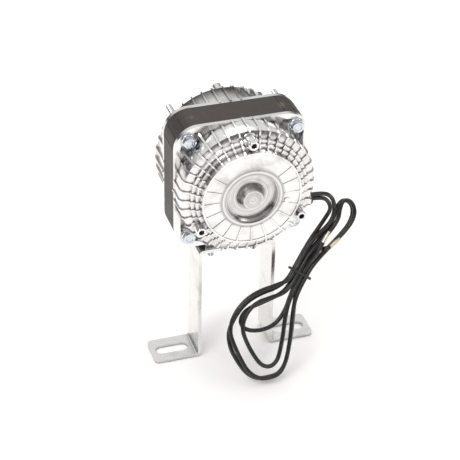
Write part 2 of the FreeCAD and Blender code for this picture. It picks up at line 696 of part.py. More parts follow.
def fan_and_sides(body, name, feature, count, sweep):
    """A fan of copies about the shaft, repeated on the four sides of the square."""
    both = body.newObject("PartDesign::MultiTransform", name)
    both.Originals = [feature]
    steps = []
    for tail, occurrences, angle in (("_fan", count, sweep), ("_sides", "4", "360")):
        step = body.newObject("PartDesign::PolarPattern", name + tail)
        step.Axis = (origin(body, "Z_Axis"), [""])
        bind(step, "Angle", angle)
        bind(step, "Occurrences", occurrences)
        steps.append(step)
    both.Transformations = steps
    body.Tip = both


def build_shield(side):
    """One end shield in its own frame, plate on the plane of the stack face and hub outwards."""
    here = lambda text: from_stack(text, side)
    points = lambda corners: [(here(across), here(up)) for across, up in corners]
    tag = lambda name: "%s_%s" % (side, name)
    outwards = 0 if side == "front" else 180
    face = Placement(Vector(0, 0, size("stack_length / 2")), Rotation())
    place = MOTOR.multiply(Placement(Vector(), Rotation(Vector(0, 1, 0), outwards))).multiply(face)
    shield = new_body(side + "_shield", place, True)
    pad(shield, tag("plate"), rounded_square(shield, tag("plate_outline"), "frame_side", "frame_corner"),
        "lip_height")
    pocket(shield, tag("recess"), rounded_square(
        shield, tag("recess_outline"), "frame_side - lip_width * 2", "frame_corner - lip_width",
        (None, None, "lip_height")), "lip_height - plate_thickness")
    corner_spots = [(left + "bolt_pitch / 2", down + "bolt_pitch / 2")
                    for left, down in (("", ""), ("-", ""), ("-", "-"), ("", "-"))]
    pad(shield, tag("bolt_pads"), circles(shield, tag("bolt_pads_outline"), "XY_Plane", [
        spot + ("bolt_flange_diameter + 1.6",) for spot in corner_spots]), "lip_height")
    pocket(shield, tag("bolt_bores"), circles(shield, tag("bolt_bores_outline"), "XY_Plane", [
        spot + ("bolt_diameter + bolt_hole_gap",) for spot in corner_spots]), "lip_height * 4", True)
    pocket(shield, tag("opening"), circles(shield, tag("opening_outline"), "XY_Plane",
           [("0", "0", WALL_IN + " * 2")]), "lip_height * 3", True)

    # ribs over the steps and shoulder, one every pitch
    step_rib = pad(shield, tag("step_rib"), polygon(shield, tag("step_rib_outline"), "XZ_Plane", points([
        ("face_diameter / 2 - edge_ring_width / 2", LAND),
        ("face_diameter / 2 - edge_ring_width / 2", "depth"),
        ("face_diameter / 2", "depth"),
        ("step_one_diameter / 2", LAND + " + rib_height * 1.4"),
        (WALL_OUT + " - shoulder_round * 0.2", LAND + " + rib_height * 0.4"),
        (WALL_OUT + " + rib_height", LAND + " - shoulder_round"),
        (WALL_OUT + " - wall_thickness / 2", LAND + " - shoulder_round"),
        ("step_one_diameter / 2", LAND + " - wall_thickness / 2"),
    ])), "rib_width", True)
    around(shield, tag("step_ribs"), [step_rib], "rib_pitch_count")

    # ribs down the drum wall, nine to a side, left out behind the corner bolts
    wall_outline = polygon(shield, tag("wall_rib_outline"), "XZ_Plane", points([
        (WALL_OUT + " - wall_thickness / 2", "plate_thickness / 2"),
        (WALL_OUT + " + rib_height", "plate_thickness / 2"),
        (WALL_OUT + " + rib_height", LAND + " - shoulder_round"),
        (WALL_OUT + " - wall_thickness / 2", LAND + " - shoulder_round"),
    ]))
    turn_sketch(wall_outline, 360 / size("rib_pitch_count") - 45)
    wall_rib = pad(shield, tag("wall_rib"), wall_outline, "rib_width", True)
    fan_and_sides(shield, tag("wall_ribs"), wall_rib, "rib_pitch_count / 4 - 1",
                  "360 * (rib_pitch_count / 4 - 2) / rib_pitch_count")

    # tall fins either side of each corner bolt
    for name, turn in (("left_fin", 45 - size("corner_fin_turn")), ("right_fin", 45 + size("corner_fin_turn"))):
        outline = polygon(shield, tag(name + "_outline"), "XZ_Plane", points([
            (WALL_OUT + " - wall_thickness / 2", "plate_thickness / 2"),
            ("corner_fin_reach", "plate_thickness / 2"),
            ("corner_fin_reach", "lip_height + plate_thickness / 4"),
            (WALL_OUT + " + rib_height", "corner_fin_top"),
            (WALL_OUT + " - wall_thickness / 2", "corner_fin_top"),
        ]))
        turn_sketch(outline, turn)
        fin = pad(shield, tag(name), outline, "rib_width", True)
        around(shield, tag(name + "s"), [fin], "4")

    # raised spokes on the face; the uppermost fifth of the face is left plain
    spoke_outline = polygon(shield, tag("spoke_outline"), "XZ_Plane", points([
        ("dish_ring_diameter / 2 - dish_ring_width * 0.1", "depth - face_wall / 2"),
        ("face_diameter / 2 - edge_ring_width / 2", "depth - face_wall / 2"),
        ("face_diameter / 2 - edge_ring_width / 2", "depth + spoke_height"),
        ("dish_ring_diameter / 2 - dish_ring_width * 0.1", "depth + spoke_height"),
    ]))
    turn_sketch(spoke_outline, 90 + 360 / size("spoke_count") * 3)
    spoke = pad(shield, tag("spoke"), spoke_outline, "spoke_width", True)
    around(shield, tag("spokes"), [spoke], "spoke_count * 3 / 4", "360 * (spoke_count * 3 / 4 - 1) / spoke_count")

    # three bosses for a guard or ring, standing just proud of the face
    boss_spots = [("fan_boss_circle / 2 * cos(%d)" % turn, "fan_boss_circle / 2 * sin(%d)" % turn)
                  for turn in (90, 210, 330)]
    pad(shield, tag("fan_bosses"), circles(shield, tag("fan_bosses_outline"), "XY_Plane", [
        spot + ("fan_boss_diameter",) for spot in boss_spots], (None, None, here(LAND + " - shoulder_round"))),
        "shoulder_drop + fan_boss_rise + shoulder_round")
    if side == "front":
        add_front_details(shield)
    turned(shield, tag("drum"), points(shield_profile))
    pocket(shield, tag("fan_taps"), circles(shield, tag("fan_taps_outline"), "XY_Plane", [
        spot + ("fan_boss_bore",) for spot in boss_spots], (None, None, here("depth + fan_boss_rise"))),
        "fan_boss_depth")
    for feature in shield.Group:
        if hasattr(feature, "Refine"):
            feature.Refine = False
    return shield


def add_front_details(front):
    # small cast pip on the face
    pad(front, "pip", circles(front, "pip_outline", "XY_Plane", [
        ("pip_radius * cos(pip_angle)", "pip_radius * sin(pip_angle)", "pip_diameter")],
        (None, None, "front_depth - face_wall / 2")), "face_wall / 2 + pip_height")

    # lead outlet: a round pad on the drum wall, to be bored sideways for the rubber grommet
    pad(front, "outlet_pad", circles(front, "outlet_pad_outline", "YZ_Plane", [
        ("-outlet_drop", "outlet_depth", "grommet_flange + 1")],
        (None, None, "outlet_seat - wall_thickness * 2")), "wall_thickness * 2")

    # two cast feet reach back below the stack, each holding a captive bolt
    for side, sign in (("left", "-"), ("right", "")):
        middle = "%s(leg_inner_half - flange_bolt_inset) - motor_side_shift" % sign
        low = "%s - foot_lug_width / 2" % middle
        high = "%s + foot_lug_width / 2" % middle
        pad(front, side + "_foot_root", box_outline(
            front, side + "_foot_root_outline", "XY_Plane", low, TONGUE_LOW,
            high, "-frame_side / 2 + lip_width"), "plate_thickness")
        pad(front, side + "_foot_tongue", box_outline(
            front, side + "_foot_tongue_outline", "XY_Plane", low, TONGUE_LOW, high, TONGUE_TOP,
            (None, None, "plate_thickness")), "foot_lug_reach", backwards=True)
        bolt_radius = "(flange_bolt_diameter + flange_bolt_gap) / 2"
        seat_radius = "(flange_head_diameter + flange_bolt_gap) / 2"
        seat_floor = TONGUE_TOP + " - flange_head_height"
        seat_mouth = TONGUE_TOP + " + foot_lug_gap / 2"
        turned_cut(front, side + "_foot_bolt_seat", [
            ("0", TONGUE_LOW + " - 1"),
            (bolt_radius, TONGUE_LOW + " - 1"),
            (bolt_radius, seat_floor),
            (seat_radius, seat_floor),
            (seat_radius, seat_mouth),
            ("0", seat_mouth),
        ], "XY_Plane", (middle, None, "motor_back_shift - stack_length / 2"))


TONGUE_TOP = "-frame_side / 2 - foot_lug_gap"
TONGUE_LOW = "-frame_side / 2 - foot_lug_height"
front = build_shield("front")
pocket(front, "outlet_bore", circles(front, "outlet_bore_outline", "YZ_Plane", [
    ("-outlet_drop", "outlet_depth", "grommet_diameter + grommet_gap")], (None, None, "outlet_seat + 1")),
    "wall_thickness * 3 + 1")

# the rear hub is open for the shaft
rear = build_shield("rear")
pocket(rear, "shaft_opening", circles(rear, "shaft_opening_outline", "XY_Plane", [
    ("0", "0", "shaft_diameter + felt_bore_gap")], (None, None, "rear_depth + hub_rise")), "hub_rise * 3")

# Clamp bolts: four flanged hexagon bolts run through both shields and the stack, with nuts at the back.
BOLT_SEAT = "stack_length / 2 + lip_height"
CORNER = "bolt_pitch / 2"
clamp = new_body("clamp_bolts", MOTOR, True)
pad(clamp, "bolt_flange", circles(clamp, "bolt_flange_outline", "XY_Plane", [
    (CORNER, CORNER, "bolt_flange_diameter")], (None, None, BOLT_SEAT)), "bolt_flange_height")
pad(clamp, "bolt_head", hexagon(clamp, "bolt_head_outline", "bolt_head_flats", CORNER, CORNER,
    (None, None, BOLT_SEAT)), "bolt_flange_height + bolt_head_height")
pad(clamp, "bolt_shank", circles(clamp, "bolt_shank_outline", "XY_Plane", [
    (CORNER, CORNER, "bolt_diameter")], (None, None, BOLT_SEAT)),
    "(%s) * 2 + bolt_tail" % BOLT_SEAT, backwards=True)
around(clamp, "bolts", list(clamp.Group[1::2]), "4")

clamp_nuts = new_body("clamp_nuts", MOTOR, True)
pad(clamp_nuts, "clamp_nut", hexagon(clamp_nuts, "clamp_nut_outline", "bolt_head_flats", CORNER, CORNER,
    (None, None, "-(%s)" % BOLT_SEAT)), "clamp_nut_height", backwards=True)
pocket(clamp_nuts, "clamp_nut_bore", circles(clamp_nuts, "clamp_nut_bore_outline", "XY_Plane", [
    (CORNER, CORNER, "bolt_diameter + thread_gap")], (None, None, "-stack_length / 2")), "lip_height * 3")
around(clamp_nuts, "clamp_nut_set", list(clamp_nuts.Group[1::2]), "4")

# Bracket bolts sit with their round heads in the cast feet and hang down through the flanges to a nut.
HEAD_FLOOR = "axis_height - frame_side / 2 - foot_lug_gap - flange_head_height"
NUT_TOP = FLANGE_TOP + " - strip_thickness"
bracket_bolts = new_body("bracket_bolts", FLOOR_UP, True)
bracket_nuts = new_body("bracket_nuts", FLOOR_UP, True)
for side, sign in (("left", "-"), ("right", "")):
    across = "%s(leg_inner_half - flange_bolt_inset)" % sign
    turned(bracket_bolts, side + "_flange_bolt", [
        ("0", NUT_TOP + " - flange_nut_height - flange_bolt_tail"),
        ("flange_bolt_diameter / 2", NUT_TOP + " - flange_nut_height - flange_bolt_tail"),
        ("flange_bolt_diameter / 2", HEAD_FLOOR),
        ("flange_head_diameter / 2", HEAD_FLOOR),
        ("flange_head_diameter / 2", HEAD_FLOOR + " + flange_head_height - foot_lug_gap / 2"),
        ("0", HEAD_FLOOR + " + flange_head_height - foot_lug_gap / 2"),
    ], "XZ_Plane", (across, None, None))
    pad(bracket_nuts, side + "_flange_nut", hexagon(
        bracket_nuts, side + "_flange_nut_outline", "flange_nut_flats", across, "0", (None, None, NUT_TOP)),
        "flange_nut_height", backwards=True)
    pocket(bracket_nuts, side + "_flange_nut_bore", circles(
        bracket_nuts, side + "_flange_nut_bore_outline", "XY_Plane", [
            (across, "0", "flange_bolt_diameter + thread_gap")], (None, None, NUT_TOP)), "flange_nut_height")

# Lead outlet: a rubber grommet fills the bore in the drum wall, its flange against the cast pad.
outlet = Vector(
    size("motor_side_shift"),
    size("motor_back_shift - stack_length / 2 - outlet_depth"),
    size("axis_height - outlet_drop"),
)
grommet = new_body("lead_grommet", Placement(outlet, Rotation(Vector(0, 1, 0), 90)))
turned(grommet, "grommet_ring", [
    ("0", "outlet_seat - wall_thickness * 2"),
    ("grommet_diameter / 2", "outlet_seat - wall_thickness * 2"),
    ("grommet_diameter / 2", "outlet_seat"),
    ("grommet_flange / 2", "outlet_seat"),
    ("grommet_flange / 2 - grommet_out * 0.2", "outlet_seat + grommet_out"),
    ("0", "outlet_seat + grommet_out"),
])


def tube(label, spots, diameter):
    """Round cord along a route of straight runs joined by tangent arcs; the smallest bend is printed."""
    edges = []
    start = spots[0]
    bends = []
    for before, spot, after in zip(spots, spots[1:], spots[2:]):
        arriving = (spot - before).normalize()
        leaving = (after - spot).normalize()
        half_turn = arriving.getAngle(leaving) / 2
        trim = 0.45 * min((spot - before).Length, (after - spot).Length)
        radius = trim / math.tan(half_turn)
        inwards = (leaving - arriving).normalize()
        entry = spot - arriving * trim
        leave = spot + leaving * trim
        middle = spot + inwards * (radius / math.cos(half_turn) - radius)
        edges.append(Part.LineSegment(start, entry).toShape())
        edges.append(Part.Arc(entry, middle, leave).toShape())
        start = leave
        bends.append(radius)
    edges.append(Part.LineSegment(start, spots[-1]).toShape())
    circle = Part.Wire(Part.makeCircle(diameter / 2, spots[0], spots[1] - spots[0]))
    cord = doc.addObject("Part::Feature", label)
    cord.Label = label
    cord.Shape = Part.Wire(edges).makePipeShell([circle], True, False)
    print(label, "smallest bend radius", round(min(bends), 1))
    return cord


# Leads: two black wires leave the grommet side by side and drop into the top of the hank.
exit_spot = outlet + Vector(size("outlet_seat + grommet_out"), 0, 0)
spread = Vector(0, 0, size("(lead_diameter + lead_gap) / 2"))
tube("lead_1", [
    exit_spot + spread,
    exit_spot + spread + Vector(8.0, 0, 0),
    exit_spot + spread + Vector(15.1, 3.0, -5.7),
    exit_spot + spread + Vector(18.1, 4.5, -13.7),
], size("lead_diameter"))
tube("lead_2", [
    exit_spot - spread,
    exit_spot - spread + Vector(7.6, 0, 0),
    exit_spot - spread + Vector(13.2, 2.4, -5.9),
    exit_spot - spread + Vector(15.5, 4.0, -13.2),
], size("lead_diameter"))

# Hank: the leads are folded into a flat bundle that leans back against the motor and reaches the floor.
# Only its outer shape is solid here: a lower and an upper lobe with a waist where the tie goes round.
hank_place = Placement(Vector(0, size("-hank_back_reach"), 0), Rotation(Vector(1, 0, 0), -size("hank_tilt")))
WAIST_ACROSS = 37.0
WAIST_UP = 67.0
waist_along = Vector(0.6, 0.8, 0)
waist_side = Vector(0.8, -0.6, 0)


def waist_box(half_side, half_along):
    """Four corners of a rectangle centred on the waist, in the plane of the hank."""
    corners = []
    for s, a in ((1, 1), (1, -1), (-1, -1), (-1, 1)):
        spot = Vector(WAIST_ACROSS, WAIST_UP, 0) + waist_side * (s * half_side) + waist_along * (a * half_along)
        corners.append(("%.4f" % spot.x, "%.4f" % spot.y))
    return corners


waist = waist_box(size("waist_width / 2"), size("tie_width * 0.8"))
hank = new_body("lead_hank", hank_place)
lower_lobe = [(32, 51), (30, 39), (26, 24), (22, 10), (17, 3), (8, 2), (1, 3), (-6, 11), (-9, 19.6),
              (-12, 29.4), (-15, 38), (-11, 48), (-3, 56.7), (12, 63), (24, 64.5)]
upper_lobe = [(50, 91.6), (60, 106.9), (64, 111.2), (72, 110.1), (78, 105.8), (78.5, 99.2), (72, 89.4), (58, 78.5)]
as_text = lambda spots: [(str(across), str(up)) for across, up in spots]
hank_outline = waist[:2] + as_text(lower_lobe) + waist[2:] + as_text(upper_lobe)
pad(hank, "hank_block", polygon(hank, "hank_outline", "XZ_Plane", hank_outline), "hank_thickness", True)

# Tie: a narrow band round the waist of the hank.
tie = new_body("hank_tie", hank_place)
tie_corners = waist_box(size("waist_width / 2 + tie_wall"), size("tie_width / 2"))
pad(tie, "tie_band", polygon(tie, "tie_outline", "XZ_Plane", tie_corners), "hank_thickness + tie_wall * 2", True)
hole_corners = waist_box(size("waist_width / 2"), size("tie_width"))
pocket(tie, "tie_hole", polygon(tie, "tie_hole_outline", "XZ_Plane", hole_corners), "hank_thickness", True)

# Crimped terminals on the two lead ends, pressed into the front of the bundle.
terminal_depth = -size("hank_thickness / 2 + terminal_diameter / 2 - terminal_sink")
for number, across, up, way in ((1, 54.5, 88.0, Vector(0.6, 0, 0.8)), (2, 60.0, 83.5, Vector(0.85, 0, 0.53))):
    terminal = new_body("lead_terminal_%d" % number,
                        hank_place.multiply(Placement(Vector(across, terminal_depth, up),
                                                      Rotation(Vector(0, 0, 1), way))))
    turned(terminal, "terminal_barrel_%d" % number, [
        ("0", "-terminal_length / 2"),
        ("terminal_diameter / 2 - 0.3", "-terminal_length / 2"),
        ("terminal_diameter / 2", "-terminal_length / 2 + 0.3"),
        ("terminal_diameter / 2", "terminal_length / 6"),
        ("terminal_diameter / 2 - 0.4", "terminal_length / 4"),
        ("terminal_diameter / 2 - 0.4", "terminal_length / 2"),
        ("0", "terminal_length / 2"),
    ])

# Every piece is checked, then written to its own file.
doc.recompute()
solids = [item for item in doc.Objects if item.TypeId in ("PartDesign::Body", "Part::Feature")]
for item in doc.Objects:
    if "Invalid" in item.State or "Error" in item.State:
        raise RuntimeError("%s did not rebuild" % item.Name)
for item in solids:
    if item.Shape.isNull() or not item.Shape.isValid():
        raise RuntimeError("%s is not a valid solid" % item.Label)
os.makedirs("parts", exist_ok=True)
for item in solids:
    item.Shape.exportStep("parts/%s.step" % item.Label)
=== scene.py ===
import bmesh
import bpy
import math
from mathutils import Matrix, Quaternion, Vector


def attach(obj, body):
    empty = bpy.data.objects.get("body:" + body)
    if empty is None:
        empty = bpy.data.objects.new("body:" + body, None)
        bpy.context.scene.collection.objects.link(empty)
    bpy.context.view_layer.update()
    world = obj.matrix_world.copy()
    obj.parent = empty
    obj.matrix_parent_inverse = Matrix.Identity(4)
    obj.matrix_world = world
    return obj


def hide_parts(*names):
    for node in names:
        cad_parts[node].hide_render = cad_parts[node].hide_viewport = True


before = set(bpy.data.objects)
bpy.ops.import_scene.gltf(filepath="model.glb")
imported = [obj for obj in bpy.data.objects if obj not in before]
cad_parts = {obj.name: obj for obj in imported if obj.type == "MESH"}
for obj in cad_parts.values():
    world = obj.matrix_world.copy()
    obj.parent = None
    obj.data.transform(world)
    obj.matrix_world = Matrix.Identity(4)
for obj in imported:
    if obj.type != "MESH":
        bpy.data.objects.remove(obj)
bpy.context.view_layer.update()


# Surfaces are mixed from the same few steps: a broad stain, a fine grain that also moves the
# roughness, and a bump. Coordinates are the object's own, in metres.
STAIN_BLEND = 0.22
ROUGHNESS_SPREAD = 0.14
LEAST_ROUGHNESS = 0.05


def surface(name, clean, stained, metallic, roughness, grain, bump, stain_scale,
            stain_from=0.5, stretch=(1, 1, 1)):
    material = bpy.data.materials.new(name)
    material.use_nodes = True
    nodes = material.node_tree.nodes
    links = material.node_tree.links
    shader = nodes["Principled BSDF"]
    shader.inputs["Metallic"].default_value = metallic
    place = nodes.new("ShaderNodeTexCoord")
    mapping = nodes.new("ShaderNodeMapping")
    mapping.inputs["Scale"].default_value = stretch
    links.new(place.outputs["Object"], mapping.inputs["Vector"])

    stain = nodes.new("ShaderNodeTexNoise")
    stain.inputs["Scale"].default_value = stain_scale
    stain.inputs["Detail"].default_value = 6
    stain.inputs["Roughness"].default_value = 0.62
    links.new(place.outputs["Object"], stain.inputs["Vector"])
    stain_range = nodes.new("ShaderNodeMapRange")
    stain_range.inputs["From Min"].default_value = stain_from
    stain_range.inputs["From Max"].default_value = stain_from + STAIN_BLEND
    links.new(stain.outputs["Fac"], stain_range.inputs["Value"])
    colour = nodes.new("ShaderNodeMix")
    colour.data_type = "RGBA"
    colour.inputs["A"].default_value = (*clean, 1)
    colour.inputs["B"].default_value = (*stained, 1)
    links.new(stain_range.outputs["Result"], colour.inputs["Factor"])
    links.new(colour.outputs["Result"], shader.inputs["Base Color"])

    fine = nodes.new("ShaderNodeTexNoise")
    fine.inputs["Scale"].default_value = grain
    fine.inputs["Detail"].default_value = 5
    links.new(mapping.outputs["Vector"], fine.inputs["Vector"])
    rough_range = nodes.new("ShaderNodeMapRange")
    rough_range.inputs["To Min"].default_value = max(roughness - ROUGHNESS_SPREAD, LEAST_ROUGHNESS)
    rough_range.inputs["To Max"].default_value = roughness + ROUGHNESS_SPREAD
    links.new(fine.outputs["Fac"], rough_range.inputs["Value"])
    links.new(rough_range.outputs["Result"], shader.inputs["Roughness"])
    relief = nodes.new("ShaderNodeBump")
    relief.inputs["Strength"].default_value = 0.6
    relief.inputs["Distance"].default_value = bump
    links.new(fine.outputs["Fac"], relief.inputs["Height"])
    links.new(relief.outputs["Normal"], shader.inputs["Normal"])
    return material


def shade_hollows(material, reach, dark):
    """Painted shade in grooves and corners: the base colour is darkened where ambient occlusion finds
    nearby surfaces.
    """
    nodes = material.node_tree.nodes
    links = material.node_tree.links
    shader = nodes["Principled BSDF"]
    hollow = nodes.new("ShaderNodeAmbientOcclusion")
    hollow.inputs["Distance"].default_value = reach
    hollow.samples = 8
    depth = nodes.new("ShaderNodeMapRange")
    depth.inputs["From Min"].default_value = 0.35
    depth.inputs["From Max"].default_value = 0.95
    depth.inputs["To Min"].default_value = dark
    links.new(hollow.outputs["AO"], depth.inputs["Value"])
    mixed = nodes.new("ShaderNodeVectorMath")
    mixed.operation = "SCALE"
    links.new(nodes["Mix"].outputs["Result"], mixed.inputs[0])
    links.new(depth.outputs["Result"], mixed.inputs["Scale"])
    links.new(mixed.outputs["Vector"], shader.inputs["Base Color"])


def paint(material, *names):
    for name in names:
        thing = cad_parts[name]
        thing.data.materials.clear()
        thing.data.materials.append(material)


def placed(name, data):
    """New object at the origin, in the scene."""
    thing = bpy.data.objects.new(name, data)
    bpy.context.scene.collection.objects.link(thing)
    return thing


def smooth(mesh, sharp_degrees):
    """Smooth shading, with hard edges where faces meet at more than the angle."""
    for polygon in mesh.polygons:
        polygon.use_smooth = True
    mesh.set_sharp_from_angle(angle=math.radians(sharp_degrees))


# Cast aluminium: bright as cast, with small grey flow marks and a slightly pebbled skin. Fine rings about
# the shaft show where the dish and the hub were skimmed, and that disc is also darkened as painted shade of
# the dish. The shaft's place is in millimetres.
SHAFT_ACROSS = 2.6
SHAFT_HEIGHT = 126.4
SKIMMED_RADIUS = 0.0205
SKIM_EDGE = 0.0005
cast = surface("cast_aluminium", (0.86, 0.85, 0.84), (0.60, 0.59, 0.58), 1.0, 0.2, 500, 0.00002, 75)
# Painted shade: the cast base colour is darkened in grooves, corners and bores.
shade_hollows(cast, 0.0025, 0.42)
nodes = cast.node_tree.nodes
links = cast.node_tree.links
cast_shader = nodes["Principled BSDF"]
from_shaft = nodes.new("ShaderNodeVectorMath")
from_shaft.operation = "SUBTRACT"
from_shaft.inputs[1].default_value = (SHAFT_ACROSS / 1000, 0, SHAFT_HEIGHT / 1000)
links.new(nodes["Texture Coordinate"].outputs["Object"], from_shaft.inputs[0])
across_shaft = nodes.new("ShaderNodeVectorMath")
across_shaft.operation = "MULTIPLY"
across_shaft.inputs[1].default_value = (1, 0, 1)
links.new(from_shaft.outputs["Vector"], across_shaft.inputs[0])
radius = nodes.new("ShaderNodeVectorMath")
radius.operation = "LENGTH"
links.new(across_shaft.outputs["Vector"], radius.inputs[0])
rings = nodes.new("ShaderNodeTexNoise")
rings.noise_dimensions = "1D"
rings.inputs["Scale"].default_value = 750
rings.inputs["Detail"].default_value = 3
links.new(radius.outputs["Value"], rings.inputs["W"])
skimmed = nodes.new("ShaderNodeMapRange")
skimmed.inputs["From Min"].default_value = SKIMMED_RADIUS + SKIM_EDGE
skimmed.inputs["From Max"].default_value = SKIMMED_RADIUS
links.new(radius.outputs["Value"], skimmed.inputs["Value"])
ring_bump = nodes.new("ShaderNodeBump")
ring_bump.inputs["Distance"].default_value = 0.0001
links.new(skimmed.outputs["Result"], ring_bump.inputs["Strength"])
links.new(rings.outputs["Fac"], ring_bump.inputs["Height"])
links.new(nodes["Bump"].outputs["Normal"], ring_bump.inputs["Normal"])
links.new(ring_bump.outputs["Normal"], cast_shader.inputs["Normal"])
# Inside the skimmed radius the base colour is scaled to between half and nine tenths, following the fine
# turned rings: the rings are turning marks, the overall darkening of the dish is painted shade.
ring_shade = nodes.new("ShaderNodeMapRange")
ring_shade.inputs["From Min"].default_value = 0.3
ring_shade.inputs["From Max"].default_value = 0.65
ring_shade.inputs["To Min"].default_value = 0.5
ring_shade.inputs["To Max"].default_value = 0.9
links.new(rings.outputs["Fac"], ring_shade.inputs["Value"])
where_skimmed = nodes.new("ShaderNodeMix")
where_skimmed.inputs["A"].default_value = 1
links.new(skimmed.outputs["Result"], where_skimmed.inputs["Factor"])
links.new(ring_shade.outputs["Result"], where_skimmed.inputs["B"])
dish_shaded = nodes.new("ShaderNodeVectorMath")
dish_shaded.operation = "SCALE"
links.new(cast_shader.inputs["Base Color"].links[0].from_socket, dish_shaded.inputs[0])
links.new(where_skimmed.outputs["Result"], dish_shaded.inputs["Scale"])
links.new(dish_shaded.outputs["Vector"], cast_shader.inputs["Base Color"])
paint(cast, "rotor_cage")


def revolved(name, profile, centre, face, outward, steps):
    """Closed ring from (radius, height) points; heights run outwards from the face of the stack."""
    across, up = centre
    made = bmesh.new()
    rows = []
    for i in range(steps):
        turn = 2 * math.pi * i / steps
        rows.append([made.verts.new(((across + out * math.cos(turn)) / 1000,
                                     (face + outward * height) / 1000,
                                     (up + out * math.sin(turn)) / 1000)) for out, height in profile])
    for row, after in zip(rows, rows[1:] + rows[:1]):
        for k in range(len(profile)):
            following = (k + 1) % len(profile)
            made.faces.new((row[k], after[k], after[following], row[following]))
    bmesh.ops.recalc_face_normals(made, faces=made.faces)
    mesh = bpy.data.meshes.new(name)
    made.to_mesh(mesh)
    made.free()
    return placed(name, mesh)


# End shields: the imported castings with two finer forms. Their ribs are turned down to follow the
# steps, so that shallow cells show between them, and the screw bosses are slimmer. Millimetres.
STACK_FRONT = -6.0
STACK_REAR = 14.0
FRONT_DEPTH = 23.0
REAR_DEPTH = 28.6
SHOULDER_DROP = 7.8
CUT_INNER = 31.2
CUT_OUTER = 43.5
CUT_CLEAR = 3
CUT_STEPS = 180
BOSS_CIRCLE = 36.3
BOSS_RADIUS = 3.1
BOSS_HEIGHT = 1.2
BOSS_CHAMFER = 0.3
BOSS_ROOT = 1
BOSS_STEPS = 32
BORE_RADIUS = 1.6
BORE_CHAMFER = 0.25
WELD_DISTANCE = 0.000002
CASTING_SHARP = 32
for side, face, outward, depth in (
    ("front", STACK_FRONT, -1, FRONT_DEPTH),
    ("rear", STACK_REAR, 1, REAR_DEPTH),
):
    land = depth - SHOULDER_DROP
    tools = [("DIFFERENCE", revolved(side + "_rib_cut", [
        (CUT_INNER, depth + CUT_CLEAR), (CUT_INNER, depth), (31.8, land + 5.0), (34.1, land + 4.8),
        (34.6, land + 3.1), (36.8, land + 2.9), (37.3, land + 1.3), (38.7, land + 0.8),
        (41.6, land + 0.45), (CUT_OUTER, land + 0.45), (CUT_OUTER, depth + CUT_CLEAR),
    ], (SHAFT_ACROSS, SHAFT_HEIGHT), face, outward, CUT_STEPS))]
    for degrees in (90, 210, 330):
        turn = math.radians(degrees)
        boss_across = SHAFT_ACROSS + BOSS_CIRCLE * math.cos(turn)
        boss_up = SHAFT_HEIGHT + BOSS_CIRCLE * math.sin(turn)
        boss_end = depth + BOSS_HEIGHT
        tools.append(("UNION", revolved("%s_boss_%d" % (side, degrees), [
            (BORE_RADIUS, land - BOSS_ROOT), (BOSS_RADIUS, land - BOSS_ROOT),
            (BOSS_RADIUS, boss_end - BOSS_CHAMFER), (BOSS_RADIUS - BOSS_CHAMFER, boss_end),
            (BORE_RADIUS + BORE_CHAMFER, boss_end), (BORE_RADIUS, boss_end - BORE_CHAMFER),
        ], (boss_across, boss_up), face, outward, BOSS_STEPS)))
    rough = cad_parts[side + "_shield"].data.copy()
    if "custom_normal" in rough.attributes:
        rough.attributes.remove(rough.attributes["custom_normal"])
    welded = bmesh.new()
    welded.from_mesh(rough)
    bmesh.ops.remove_doubles(welded, verts=welded.verts, dist=WELD_DISTANCE)
    welded.to_mesh(rough)
    welded.free()
    casting = placed(side + "_casting", rough)
    for operation, tool in tools:
        step = casting.modifiers.new(tool.name, "BOOLEAN")
        step.operation = operation
        step.solver = "EXACT"
        step.object = tool
    bpy.context.view_layer.update()
    cut_casting = casting.evaluated_get(bpy.context.evaluated_depsgraph_get())
    finished = bpy.data.meshes.new_from_object(cut_casting)
    casting.modifiers.clear()
    casting.data = finished
    for _, tool in tools:
        bpy.data.objects.remove(tool)
    smooth(finished, CASTING_SHARP)
    finished.materials.clear()
    finished.materials.append(cast)
    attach(casting, "motor")
    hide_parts(side + "_shield")

# Stator stack: dark oxidised sheet edges; the fine bands are the separate laminations.
steel = surface("laminated_steel", (0.062, 0.052, 0.047), (0.19, 0.155, 0.115), 0.45, 0.5, 500,
                0.00005, 150, 0.6)
nodes = steel.node_tree.nodes
links = steel.node_tree.links
band = nodes.new("ShaderNodeTexWave")
band.bands_direction = "Y"
band.inputs["Scale"].default_value = 560
band.inputs["Distortion"].default_value = 1.2
band.inputs["Detail"].default_value = 2
links.new(nodes["Texture Coordinate"].outputs["Object"], band.inputs["Vector"])
band_bump = nodes.new("ShaderNodeBump")
band_bump.inputs["Strength"].default_value = 0.7
band_bump.inputs["Distance"].default_value = 0.00008
links.new(band.outputs["Fac"], band_bump.inputs["Height"])
links.new(nodes["Bump"].outputs["Normal"], band_bump.inputs["Normal"])
links.new(band_bump.outputs["Normal"], nodes["Principled BSDF"].inputs["Normal"])
paint(steel, "stator_core", "rotor_core")

# Legs: bright zinc on rolled strip, drawn out along the strip, with faint yellow stains.
zinc = surface("zinc_plate", (0.80, 0.80, 0.785), (0.56, 0.53, 0.46), 0.95, 0.24, 260,
               0.000015, 60, 0.56, (1, 1, 0.12))
# Painted shade: the zinc's base colour is darkened in its hollows and corners.
shade_hollows(zinc, 0.004, 0.3)
paint(zinc, "left_bracket", "right_bracket")

# Bolts, nuts and clips: bluish bright zinc.
blue_zinc = surface("blue_zinc", (0.66, 0.71, 0.77), (0.42, 0.46, 0.52), 1.0, 0.18, 900,
                    0.00003, 200, 0.55)
paint(blue_zinc, "clamp_nuts", "bracket_bolts", "bracket_nuts", "front_bearing_clip", "rear_bearing_clip")

